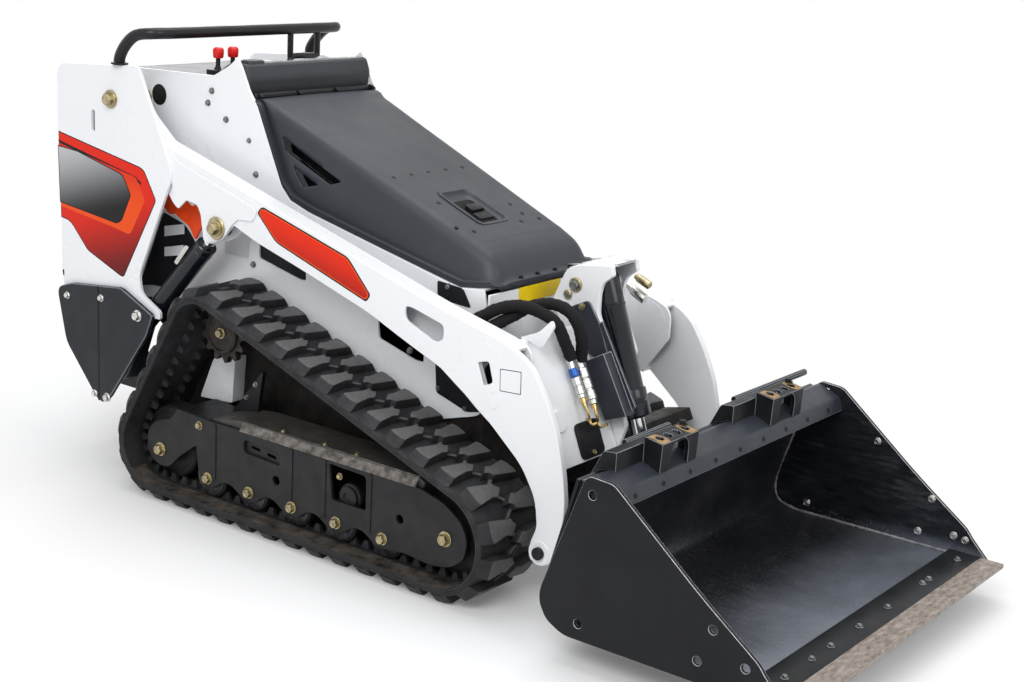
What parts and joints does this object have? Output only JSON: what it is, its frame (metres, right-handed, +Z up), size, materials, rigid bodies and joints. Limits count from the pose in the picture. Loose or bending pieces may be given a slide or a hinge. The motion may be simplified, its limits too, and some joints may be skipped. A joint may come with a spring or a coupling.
{
  "type": "mini skid steer loader",
  "caption": "Stand-behind compact loader on rubber tracks, with lift arms, tilt cylinder and a wide bucket.",
  "frame": {"origin": "centre of the machine's plan box, on the ground", "axes": "+X forward to the bucket, +Y to the machine's left, +Z up"},
  "size_m": [2.6, 1.118, 1.3001],
  "materials": {
    "white_paint": "glossy white enamel",
    "charcoal_paint": "satin charcoal powder coat, dusty",
    "slate_paint": "satin slate paint",
    "black_paint": "satin black paint",
    "engine_paint": "dark cast metal",
    "slate_plastic": "grained slate-grey moulded plastic",
    "rubber": "worn black rubber with dry soil",
    "worn_steel": "bare steel worn bright on edges, rust-stained",
    "zinc_plate": "yellow zinc plating",
    "orange_paint": "gloss orange enamel",
    "hose_sleeve": "woven black nylon sleeve",
    "chrome": "hard chromed rod"
  },
  "bodies": {
    "chassis": {"track_right": "rubber", "track_left": "rubber", "track_frame_right": "charcoal_paint", "track_frame_left": "charcoal_paint", "drive_sprocket_right": "worn_steel", "drive_sprocket_left": "worn_steel", "hull": "charcoal_paint", "engine_block": "engine_paint", "body_side_right": "white_paint", "body_side_left": "white_paint", "tower_right": "white_paint", "tower_left": "white_paint", "rear_guard_right": "charcoal_paint", "rear_guard_left": "charcoal_paint", "pivot_pin_right": "zinc_plate", "pivot_pin_left": "zinc_plate", "dash": "slate_plastic", "rear_panel": "white_paint", "standing_platform": "charcoal_paint", "grab_bar": "black_paint", "front_panel": "white_paint", "control_levers": "slate_plastic", "arm_lock": "orange_paint"},
    "lift_arms": {"lift_arm_right": "white_paint", "lift_arm_left": "white_paint", "cross_member": "white_paint", "tilt_bracket": "white_paint", "hose_1": "hose_sleeve", "hose_2": "hose_sleeve", "hose_fittings": "zinc_plate", "hydraulic_couplers": "zinc_plate", "coupler_guard": "slate_paint"},
    "attachment": {"attach_frame": "charcoal_paint", "bucket_shell": "charcoal_paint", "bucket_beam": "slate_paint", "cutting_edge": "worn_steel", "step_bracket_right": "black_paint", "step_bracket_left": "black_paint"},
    "hood_lid": {"hood": "slate_plastic"},
    "lift_barrel_r": {"lift_barrel_right": "black_paint"},
    "lift_barrel_l": {"lift_barrel_left": "black_paint"},
    "lift_rod_r": {"lift_rod_right": "chrome"},
    "lift_rod_l": {"lift_rod_left": "chrome"},
    "tilt_barrel_body": {"tilt_barrel": "black_paint"},
    "tilt_rod_body": {"tilt_rod": "chrome"}
  },
  "joints": [
    {"name": "lift", "type": "hinge", "parent": "chassis", "child": "lift_arms", "pos_m": [-1.065, 0, 1.089], "axis": [0, -1, 0], "range_deg": [-1.7, 64]},
    {"name": "tilt", "type": "hinge", "parent": "lift_arms", "child": "attachment", "pos_m": [0.48, 0, 0.162], "axis": [0, 1, 0], "range_deg": [-20, 104]},
    {"name": "hood_hinge", "type": "hinge", "parent": "chassis", "child": "hood_lid", "pos_m": [-0.632, 0, 1.122], "axis": [0, -1, 0], "range_deg": [0, 60]},
    {"name": "lift_barrel_swing_right", "type": "hinge", "parent": "chassis", "child": "lift_barrel_r", "pos_m": [-1.14, -0.34, 0.275], "axis": [0, -1, 0], "range_deg": [-1, 17]},
    {"name": "lift_rod_slide_right", "type": "slide", "parent": "lift_barrel_r", "child": "lift_rod_r", "axis": [0.6844, 0, 0.7291], "range_m": [-0.02, 0.475]},
    {"name": "lift_barrel_swing_left", "type": "hinge", "parent": "chassis", "child": "lift_barrel_l", "pos_m": [-1.14, 0.34, 0.275], "axis": [0, -1, 0], "range_deg": [-1, 17]},
    {"name": "lift_rod_slide_left", "type": "slide", "parent": "lift_barrel_l", "child": "lift_rod_l", "axis": [0.6844, 0, 0.7291], "range_m": [-0.02, 0.475]},
    {"name": "tilt_barrel_swing", "type": "hinge", "parent": "lift_arms", "child": "tilt_barrel_body", "pos_m": [0.377, 0, 0.761], "axis": [0, 1, 0], "range_deg": [-0.5, 1.5]},
    {"name": "tilt_rod_slide", "type": "slide", "parent": "tilt_barrel_body", "child": "tilt_rod_body", "axis": [0.3366, 0, -0.9416], "range_m": [-0.042, 0.202]}
  ],
  "couplings": [
    {"joint": "lift_barrel_swing_right", "follows": "lift", "ratio": 0.2564},
    {"joint": "lift_rod_slide_right", "follows": "lift", "m_per_rad": 0.4179},
    {"joint": "lift_barrel_swing_left", "follows": "lift", "ratio": 0.2564},
    {"joint": "lift_rod_slide_left", "follows": "lift", "m_per_rad": 0.4179},
    {"joint": "tilt_barrel_swing", "follows": "tilt", "ratio": 0.01},
    {"joint": "tilt_rod_slide", "follows": "tilt", "m_per_rad": 0.1089}
  ]
}
